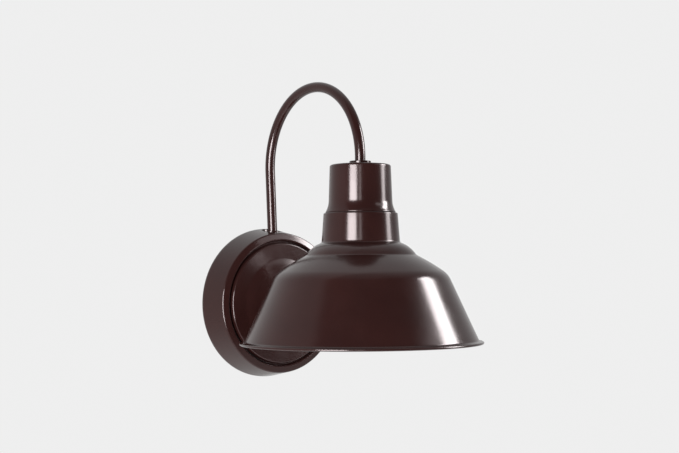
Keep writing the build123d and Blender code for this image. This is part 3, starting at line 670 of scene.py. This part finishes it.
# %% Cap nut and its washer
cap_low, cap_high = place("cap_nut")
cap_r = (cap_high[0] - cap_low[0]) / 2
cap_base, cap_tip = -cap_high[1], -cap_low[1]
CAP_SKIRT, CAP_THREAD_R, CAP_THREAD_DEPTH = 4.0, THREAD_HOLE_R, 10.0
CAP_FLUTES, FLUTE_DEPTH, FLUTE_END, FLUTE_FADE = 16, 0.45, 4.5, 1.5
CAP_COLUMNS, CAP_SEAL_BORE = 192, 5.3
crown = np.linspace(0, math.pi / 2, 26)
crown_line = np.stack(
    [cap_r * np.cos(crown), cap_base + CAP_SKIRT + (cap_tip - cap_base - CAP_SKIRT) * np.sin(crown)],
    1,
)
crown_line[-1, 0] = 0.0
cap_inside = rounded(
    [
        (0, cap_base + CAP_THREAD_DEPTH),
        (CAP_THREAD_R, cap_base + CAP_THREAD_DEPTH, 0.6),
        (CAP_THREAD_R, cap_base, 0.5),
        (cap_r, cap_base, 0.6),
        (cap_r, cap_base + CAP_SKIRT),
    ]
)
cap_outline = even(np.concatenate([cap_inside[:-1], crown_line]), longest=0.5)
cap_grid = turned(cap_outline, CAP_COLUMNS, axis="y")
cap_around = np.linspace(0, 2 * math.pi, CAP_COLUMNS, endpoint=False)[None]
depth_out = -cap_grid[..., 1] - cap_base
on_skirt = cap_outline[:, 0, None] > cap_r - 1.0
fade = np.clip((FLUTE_END - depth_out) / FLUTE_FADE, 0, 1) * on_skirt
flute = FLUTE_DEPTH * np.clip(np.cos(CAP_FLUTES * cap_around), 0, 1) ** 2 * fade
scale = 1 - flute / np.maximum(cap_outline[:, 0, None], 1)
cap_grid[..., 0] *= scale
cap_grid[..., 2] *= scale
grid_piece("domed_nut", cap_grid, "cap", "bronze_paint", ["cap_nut"], closed=False)

seal_low, seal_high = place("cap_washer")
seal_r = (seal_high[0] - seal_low[0]) / 2
seal_section = washer_outline(CAP_SEAL_BORE, seal_r, -seal_high[1], -seal_low[1], edge=0.3)
grid_piece("cap_seal", turned(seal_section, 96, axis="y"), "washer", "rubber_seal", ["cap_washer"])

# %% [markdown]
# ## Wire connectors
# Each pair of wires meets in a twist-on connector: a tapered plastic cap with ribs to grip and a
# smooth band at its mouth. The ribs are a ripple that fades out towards the band.

# %% Wire connectors
cap_shell_low, cap_shell_high = place("wire_connectors")
CONNECTOR_R, TIP_R, CONNECTOR_BORE, BORE_DEPTH = 5.5, 3.8, 2.6, 14.0
BAND_H, RIBS, RIB_DEPTH, RIB_COLUMNS, MIDDLE_X = 4.0, 14, 0.35, 112, 24.0
mouth_z, tip_z = cap_shell_high[2], cap_shell_low[2]
connector_y = (cap_shell_low[1] + cap_shell_high[1]) / 2
CONNECTOR_X = (cap_shell_low[0] + CONNECTOR_R, MIDDLE_X, cap_shell_high[0] - CONNECTOR_R)
connector_line = rounded(
    [
        (0, tip_z),
        (TIP_R, tip_z, 1.2),
        (CONNECTOR_R - 0.5, mouth_z - BAND_H, 1.0),
        (CONNECTOR_R, mouth_z - 3.0, 0.6),
        (CONNECTOR_R, mouth_z, 0.7),
        (CONNECTOR_BORE, mouth_z, 0.7),
        (CONNECTOR_BORE, mouth_z - BORE_DEPTH, 0.8),
        (0, mouth_z - BORE_DEPTH),
    ]
)
connector_line = even(connector_line, longest=0.7)
rib_around = np.linspace(0, 2 * math.pi, RIB_COLUMNS, endpoint=False)[None]
outside_row = connector_line[:, 0] > CONNECTOR_BORE + 0.3
on_ribs = np.clip(mouth_z - BAND_H - connector_line[:, 1], 0, 1) * outside_row
rib = RIB_DEPTH * on_ribs[:, None] * (0.5 - 0.5 * np.cos(RIBS * rib_around))
for number, connector_x in enumerate(CONNECTOR_X, 1):
    connector = turned(connector_line, RIB_COLUMNS)
    narrow = 1 - rib / np.maximum(connector_line[:, 0, None], 1)
    connector[..., 0] = connector[..., 0] * narrow + connector_x
    connector[..., 1] = connector[..., 1] * narrow + connector_y
    stands = ["wire_connectors"] if number == 1 else []
    grid_piece(f"twist_cap_{number}", connector, "fixture", "connector_shell", stands, closed=False)

# %% [markdown]
# ## Hexagon nuts
# A nut's radius is the distance to the nearest flat, and the chamfer cuts its corners where a
# cone is narrower than the hexagon. Both are plain formulas of angle and height.

# %% Nuts
HEX_W, BLANK_R = 14.0, 9.0  # across the flats, and a round blank wider than the corners
CHAMFER_START, CHAMFER_SLOPE = 1.02, 1.7
FOOT_NUT_DROP, FOOT_NUT_H = 7.0, 5.0


def nut_grid(height, columns=144):
    """Radius and height of a chamfered nut; the smaller of hexagon and cone wins."""
    bore, blank = THREAD_HOLE_R, BLANK_R
    corners = [(bore, 0, 0.4), (blank, 0, 0.2), (blank, height, 0.2), (bore, height, 0.4)]
    section = rounded(corners, closed=True, arc_steps=4)
    section = even(np.concatenate([section, section[:1]]), longest=0.35)[:-1]
    turn = np.linspace(0, 2 * math.pi, columns, endpoint=False)[None]
    to_flat = (turn + math.pi / 6) % (math.pi / 3) - math.pi / 6
    hexagon = HEX_W / 2 / np.cos(to_flat)
    near_end = np.minimum(section[:, 1], height - section[:, 1])[:, None]
    cone = HEX_W / 2 * CHAMFER_START + near_end * CHAMFER_SLOPE
    radius = np.minimum(np.minimum(section[:, 0, None], hexagon), cone)
    return radius, np.broadcast_to(section[:, 1, None], radius.shape), turn


def place_rings(radius, height, turn, origin, up, side):
    """Put a (radius, height, angle) grid in space, on an origin, an axis and a side direction."""
    across = np.cross(up, side)
    return (
        origin
        + height[..., None] * up
        + radius[..., None] * (np.cos(turn)[..., None] * side + np.sin(turn)[..., None] * across)
    )


side_x, up_z, out_wall = np.eye(3)[0], np.eye(3)[2], np.array([0.0, -1.0, 0.0])
cup_nut_low, cup_nut_high = place("cup_nut")
cup_nut_base = np.array([0, shade_y, cup_nut_low[2]])
lock_low, lock_high = place("nipple_lock_nut")
lock_base = np.array([0, lock_high[1], 0])
foot_nut_base = foot - leg_up * FOOT_NUT_DROP
for name, node, origin, up, nut_height in (
    ("cup_hex", "cup_nut", cup_nut_base, up_z, cup_nut_high[2] - cup_nut_low[2]),
    ("nipple_hex", "nipple_lock_nut", lock_base, out_wall, lock_high[1] - lock_low[1]),
    ("foot_hex", "foot_nut", foot_nut_base, leg_up, FOOT_NUT_H),
):
    radius, height, turn = nut_grid(nut_height)
    grid_piece(name, place_rings(radius, height, turn, origin, up, side_x), "fixture", "zinc", [node])

# %% [markdown]
# ## Finishes
# Each finish is one material on the standard principled shader. What is the same everywhere is set
# on the shader itself; colour, roughness and a fine relief vary with a noise that reads the
# object's own coordinates, so the pattern stays on the piece. Gloss paint mirrors the room, and
# even a faint relief bends its streaks, so the orange peel of the coat is under a micrometre high.

# %% Helpers for finishes
finishes = {}


def new_finish(slot, metallic=0.0, ior=1.5):
    """An empty material with a principled shader and the object's coordinates ready to use."""
    material = bpy.data.materials.new(slot)
    material.use_nodes = True
    tree = material.node_tree
    shader = next(node for node in tree.nodes if node.type == "BSDF_PRINCIPLED")
    shader.inputs["Metallic"].default_value = metallic
    shader.inputs["IOR"].default_value = ior
    finishes[slot] = material
    return tree, shader, tree.nodes.new("ShaderNodeTexCoord").outputs["Object"]


def add_noise(tree, coordinates, size_mm, detail):
    """Noise whose blotches are about this many millimetres across, from 0 to 1."""
    noise = tree.nodes.new("ShaderNodeTexNoise")
    noise.inputs["Scale"].default_value = 1 / (size_mm * MM)
    noise.inputs["Detail"].default_value = detail
    tree.links.new(coordinates, noise.inputs["Vector"])
    return noise.outputs["Fac"]


def spread(tree, value, low, high, from_low=0.3, from_high=0.7):
    """Stretch a pattern from one range onto another."""
    node = tree.nodes.new("ShaderNodeMapRange")
    ends = {"From Min": from_low, "From Max": from_high, "To Min": low, "To Max": high}
    for name, number in ends.items():
        node.inputs[name].default_value = number
    tree.links.new(value, node.inputs["Value"])
    return node.outputs["Result"]


def blend_colours(tree, share, first, second):
    """A colour between two, by a share from 0 to 1; either may be a socket."""
    mix = tree.nodes.new("ShaderNodeMix")
    mix.data_type = "RGBA"
    for slot, colour in ((6, first), (7, second)):
        if isinstance(colour, tuple):
            mix.inputs[slot].default_value = (*colour, 1)
        else:
            tree.links.new(colour, mix.inputs[slot])
    tree.links.new(share, mix.inputs[0])
    return mix.outputs[2]


def add_relief(tree, shader, height, depth_mm, strength):
    """Bend the surface's normal as if the pattern stood up by this many millimetres."""
    bump = tree.nodes.new("ShaderNodeBump")
    bump.inputs["Strength"].default_value = strength
    bump.inputs["Distance"].default_value = depth_mm * MM
    tree.links.new(height, bump.inputs["Height"])
    tree.links.new(bump.outputs["Normal"], shader.inputs["Normal"])


print("helpers ready: new_finish, add_noise, spread, blend_colours and add_relief")

# %% [markdown]
# ## Bronze paint
# The lantern's brown is a dark gloss enamel. Four scales of noise make it real: broad clouds where
# the coat is a little thicker, a haze in the gloss, a fine peel in the relief, and tiny flecks of
# pigment in the colour. What the paint mirrors takes a slight warm tint from the specular colour.

# %% Bronze paint
tree, shader, here = new_finish("bronze_paint")
shader.inputs["Specular Tint"].default_value = (1.0, 0.89, 0.90, 1)
clouds = add_noise(tree, here, 45, 3)
flecks = add_noise(tree, here, 0.5, 2)
thin_coat, thick_coat = (0.0165, 0.0056, 0.0050), (0.0125, 0.0042, 0.0038)
fleck = (0.024, 0.010, 0.008)
coat_colour = blend_colours(tree, spread(tree, clouds, 0, 1), thin_coat, thick_coat)
coat_colour = blend_colours(tree, spread(tree, flecks, 0, 0.5, 0.6, 0.8), coat_colour, fleck)
tree.links.new(coat_colour, shader.inputs["Base Color"])
haze = add_noise(tree, here, 14, 4)
tree.links.new(spread(tree, haze, 0.16, 0.20), shader.inputs["Roughness"])
peel = add_noise(tree, here, 3.0, 1)
add_relief(tree, shader, peel, 0.0008, 0.3)
print("bronze paint has", len(tree.nodes), "nodes")

# %% [markdown]
# ## Bare metals
# Zinc plating is pale and cloudy, with the soft spangle of passivated steel. Brass is yellow and
# dulls to brown in patches. Machined aluminium keeps fine rings from the tool, so its relief
# follows the distance from the lamp's axis.

# %% Zinc, brass, green screw and aluminium
for slot, bright, dull, patch in (
    ("zinc", (0.62, 0.62, 0.60), (0.44, 0.44, 0.42), 6),
    ("brass", (0.72, 0.47, 0.16), (0.42, 0.24, 0.08), 9),
    ("ground_green", (0.05, 0.26, 0.08), (0.03, 0.16, 0.05), 4),
):
    tree, shader, here = new_finish(slot, metallic=1.0)
    patches = add_noise(tree, here, patch, 5)
    tree.links.new(
        blend_colours(tree, spread(tree, patches, 0, 1), bright, dull), shader.inputs["Base Color"]
    )
    tree.links.new(spread(tree, patches, 0.22, 0.42), shader.inputs["Roughness"])
    add_relief(tree, shader, add_noise(tree, here, 0.7, 2), 0.006, 0.4)

tree, shader, here = new_finish("ring_metal", metallic=1.0)
centred = tree.nodes.new("ShaderNodeMapping")
centred.inputs["Location"].default_value = (0, -shade_y * MM, 0)
centred.inputs["Scale"].default_value = (1, 1, 0)
tree.links.new(here, centred.inputs["Vector"])
tool_rings = tree.nodes.new("ShaderNodeTexWave")
tool_rings.wave_type, tool_rings.rings_direction = "RINGS", "SPHERICAL"
tool_rings.inputs["Scale"].default_value = 500
tool_rings.inputs["Distortion"].default_value = 0.4
tree.links.new(centred.outputs["Vector"], tool_rings.inputs["Vector"])
smudge = add_noise(tree, here, 8, 4)
tree.links.new(
    blend_colours(tree, spread(tree, smudge, 0, 1), (0.66, 0.66, 0.67), (0.50, 0.50, 0.52)),
    shader.inputs["Base Color"],
)
tree.links.new(spread(tree, smudge, 0.28, 0.42), shader.inputs["Roughness"])
add_relief(tree, shader, tool_rings.outputs["Fac"], 0.01, 0.35)
print("finishes so far:", list(finishes))

# %% [markdown]
# ## Porcelain, rubber, foam and plastics
# Glazed porcelain is white with a few grey flecks under a clear glaze. Foam has open cells, rubber
# a chalky bloom, and moulded plastics a fine grain.

# %% Porcelain
tree, shader, here = new_finish("porcelain", ior=1.54)
speck = add_noise(tree, here, 0.9, 2)
warmth = add_noise(tree, here, 18, 3)
glaze = blend_colours(tree, spread(tree, warmth, 0, 1), (0.80, 0.78, 0.73), (0.73, 0.71, 0.66))
glaze = blend_colours(tree, spread(tree, speck, 0, 0.6, 0.70, 0.78), glaze, (0.33, 0.30, 0.27))
tree.links.new(glaze, shader.inputs["Base Color"])
tree.links.new(spread(tree, warmth, 0.12, 0.2), shader.inputs["Roughness"])
add_relief(tree, shader, add_noise(tree, here, 5, 2), 0.02, 0.4)
print("porcelain has", len(tree.nodes), "nodes")

# %% Rubber, foam, plastics and wires
for slot, light, dark, grain, rough, depth in (
    ("rubber_seal", (0.030, 0.030, 0.031), (0.016, 0.016, 0.017), 1.2, (0.55, 0.75), 0.02),
    ("foam_seal", (0.060, 0.060, 0.062), (0.024, 0.024, 0.025), 0.8, (0.85, 0.95), 0.25),
    ("nylon", (0.034, 0.034, 0.035), (0.022, 0.022, 0.023), 2.0, (0.35, 0.5), 0.02),
    ("black_wire", (0.020, 0.020, 0.022), (0.011, 0.011, 0.012), 1.5, (0.3, 0.45), 0.02),
    ("white_wire", (0.74, 0.73, 0.70), (0.62, 0.61, 0.58), 1.5, (0.3, 0.45), 0.02),
    ("green_wire", (0.02, 0.22, 0.06), (0.012, 0.14, 0.04), 1.5, (0.3, 0.45), 0.02),
    ("connector_shell", (0.62, 0.20, 0.02), (0.50, 0.15, 0.015), 1.0, (0.35, 0.55), 0.03),
):
    tree, shader, here = new_finish(slot)
    cells = add_noise(tree, here, grain, 3)
    broad = add_noise(tree, here, 12, 3)
    tree.links.new(
        blend_colours(tree, spread(tree, broad, 0, 1), light, dark), shader.inputs["Base Color"]
    )
    tree.links.new(spread(tree, cells, *rough), shader.inputs["Roughness"])
    add_relief(tree, shader, cells, depth, 0.5)
print("finishes so far:", list(finishes))

# %% Give every piece and every part of the frame the finish of its own slot
slot_of_node = {part["node"]: part["material_slot"] for part in frame["record"]["subparts"]}
for node, shape in frame["nodes"].items():
    shape.data.materials.clear()
    shape.data.materials.append(finishes[slot_of_node[node]])
for piece in pieces.values():
    piece.data.materials.append(finishes[piece["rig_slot"]])
print("finishes:", len(finishes), "on", len(frame["nodes"]) + len(pieces), "shapes")

# %% [markdown]
# ## Soft lamps and a room
# Gloss paint is drawn by what it mirrors: a dark room with a few large bright shapes. The room is
# dark behind the camera and pale behind the lantern, which is a colour ramp over the compass
# angle of each direction, and it is a little paler overhead. The camera itself sees an even pale
# backdrop instead: the ramp only lights the lantern and shows in its paint.

# %% The room
world = bpy.data.worlds.new("room")
bpy.context.scene.world = world
world.use_nodes = True
tree = world.node_tree
background = next(node for node in tree.nodes if node.type == "BACKGROUND")
direction = tree.nodes.new("ShaderNodeTexCoord").outputs["Generated"]
parts = tree.nodes.new("ShaderNodeSeparateXYZ")
tree.links.new(direction, parts.inputs["Vector"])


def maths(tree, operation, first, second=None):
    """One arithmetic node; each input is a number or a socket."""
    node = tree.nodes.new("ShaderNodeMath")
    node.operation = operation
    for spot, value in enumerate((first, second)):
        if isinstance(value, (int, float)):
            node.inputs[spot].default_value = value
        elif value is not None:
            tree.links.new(value, node.inputs[spot])
    return node.outputs["Value"]


front = maths(tree, "MULTIPLY", parts.outputs["Y"], -1.0)
compass = maths(tree, "ARCTAN2", parts.outputs["X"], front)
around_room = spread(tree, compass, 0, 1, -math.pi, math.pi)
ramp = tree.nodes.new("ShaderNodeValToRGB")
ROOM = (
    (-180, 0.78),
    (-140, 0.56),
    (-98, 0.42),
    (-88, 0.06),
    (-45, 0.035),
    (-38, 0.06),
    (-30, 0.035),
    (25, 0.05),
    (62, 0.28),
    (104, 0.55),
    (140, 0.80),
    (180, 0.78),
)
stops = ramp.color_ramp.elements
while len(stops) < len(ROOM):
    stops.new(0.5)
for stop, (bearing, level) in zip(stops, ROOM):
    stop.position = (bearing + 180) / 360
    stop.color = (level, level, level, 1)
tree.links.new(around_room, ramp.inputs["Fac"])
ceiling = spread(tree, parts.outputs["Z"], 0, 0.4, 0.75, 1.0)
room_light = tree.nodes.new("ShaderNodeMix")
room_light.data_type = "RGBA"
room_light.inputs[7].default_value = (0.9, 0.9, 0.9, 1)
tree.links.new(ceiling, room_light.inputs[0])
tree.links.new(ramp.outputs["Color"], room_light.inputs[6])
backdrop = tree.nodes.new("ShaderNodeMix")
backdrop.data_type = "RGBA"
backdrop.inputs[7].default_value = (0.86, 0.86, 0.86, 1)
seen_directly = tree.nodes.new("ShaderNodeLightPath").outputs["Is Camera Ray"]
tree.links.new(seen_directly, backdrop.inputs[0])
tree.links.new(room_light.outputs[2], backdrop.inputs[6])
tree.links.new(backdrop.outputs[2], background.inputs["Color"])
print("the room has", len(stops), "levels round the compass")

# %% [markdown]
# A tall soft box on the left makes the long streak down the cup and the arm, and a dim slit behind
# the camera a fainter one beside it. On the right, a lamp level with the lantern makes the cup's
# second streak, one higher up the broad band on the skirt, and a dim one beside that shows the
# step and the ring of the wall plate.

# %% The lamps
BEARING = -38.5  # the camera's side in degrees, counted from straight in front of the wall
TARGET = np.array([0.0, shade_y * MM, 0.05])


def soft_box(name, bearing, elevation, distance, width, height, radiance):
    """A rectangular lamp facing the lantern; its power is radiance x pi x area."""
    bearing, elevation = math.radians(bearing), math.radians(elevation)
    away = np.array(
        [
            math.sin(bearing) * math.cos(elevation),
            -math.cos(bearing) * math.cos(elevation),
            math.sin(elevation),
        ]
    )
    lamp = bpy.data.lights.new(name, "AREA")
    lamp.shape = "RECTANGLE"
    lamp.size, lamp.size_y = width, height
    lamp.energy = radiance * math.pi * width * height
    box = bpy.data.objects.new(name, lamp)
    box.location = TARGET + away * distance
    box.rotation_euler = Vector(away).to_track_quat("Z", "Y").to_euler()
    box.visible_camera = False
    bpy.context.scene.collection.objects.link(box)


# Each line says name, bearing, elevation, distance, width, height and radiance.
soft_box("tall_left", BEARING - 26, -6, 1.5, 0.68, 1.05, 25)
soft_box("slit_front", BEARING - 1, -6, 2.4, 0.22, 1.65, 5)
soft_box("wide_right", BEARING + 101, 25, 1.5, 0.46, 0.66, 21)
soft_box("low_right", BEARING + 92, 2, 1.55, 0.42, 1.05, 9)
soft_box("upper_right", BEARING + 72, 27, 1.6, 0.7, 0.26, 1.8)

# %% [markdown]
# The lantern hangs well above the floor, which is a pale disc. A little emission stands for the
# light that the other lamps of a studio throw on it.

# %% The floor
FLOOR_Z, FLOOR_R, FLOOR_SIDES = -1.5, 4.0, 96
disc_angle = np.linspace(0, 2 * math.pi, FLOOR_SIDES, endpoint=False)
rim_points = np.stack(
    [FLOOR_R * np.cos(disc_angle), FLOOR_R * np.sin(disc_angle), np.full(FLOOR_SIDES, FLOOR_Z)], 1
)
floor_mesh = bpy.data.meshes.new("floor")
floor_mesh.from_pydata([tuple(point) for point in rim_points], [], [tuple(range(FLOOR_SIDES))])
floor = bpy.data.objects.new("floor", floor_mesh)
bpy.context.scene.collection.objects.link(floor)
tree, shader, here = new_finish("studio_floor")
grain = add_noise(tree, here, 60, 4)
tree.links.new(
    blend_colours(tree, spread(tree, grain, 0, 1), (0.80, 0.80, 0.80), (0.77, 0.77, 0.77)),
    shader.inputs["Base Color"],
)
tree.links.new(spread(tree, grain, 0.6, 0.7), shader.inputs["Roughness"])
shader.inputs["Emission Color"].default_value = (1.0, 0.99, 0.96, 1)
shader.inputs["Emission Strength"].default_value = 0.18
floor_mesh.materials.append(finishes["studio_floor"])
print("floor", -FLOOR_Z, "m below the middle of the wall plate")

# %% [markdown]
# ## The camera
# The camera stands in front and to the left, level with the top of the shade's skirt, and looks
# slightly up. The rim is then a little below eye level, so the inside of the shade stays hidden.

# %% The camera
CAMERA_AT = (-0.74197, -1.09487, 0.03078)
HEADING, TILT, ROLL = math.radians(37.512), math.radians(2.06), math.radians(-0.38)
LENS = 67.33
ahead = Vector(
    (math.sin(HEADING) * math.cos(TILT), math.cos(HEADING) * math.cos(TILT), math.sin(TILT))
)
right = Vector((math.cos(HEADING), -math.sin(HEADING), 0))
up = right.cross(ahead)
rolled_right = right * math.cos(ROLL) + up * math.sin(ROLL)
rolled_up = up * math.cos(ROLL) - right * math.sin(ROLL)
camera_data = bpy.data.cameras.new("camera")
camera_data.lens = LENS
camera_data.sensor_width = 36
camera = bpy.data.objects.new("camera", camera_data)
turn_matrix = Matrix((rolled_right, rolled_up, -ahead)).transposed().to_4x4()
camera.matrix_world = Matrix.Translation(CAMERA_AT) @ turn_matrix
bpy.context.scene.collection.objects.link(camera)
bpy.context.scene.camera = camera
bpy.context.scene.view_settings.view_transform = "Standard"
print("camera at", CAMERA_AT, "with a lens of", LENS, "mm")
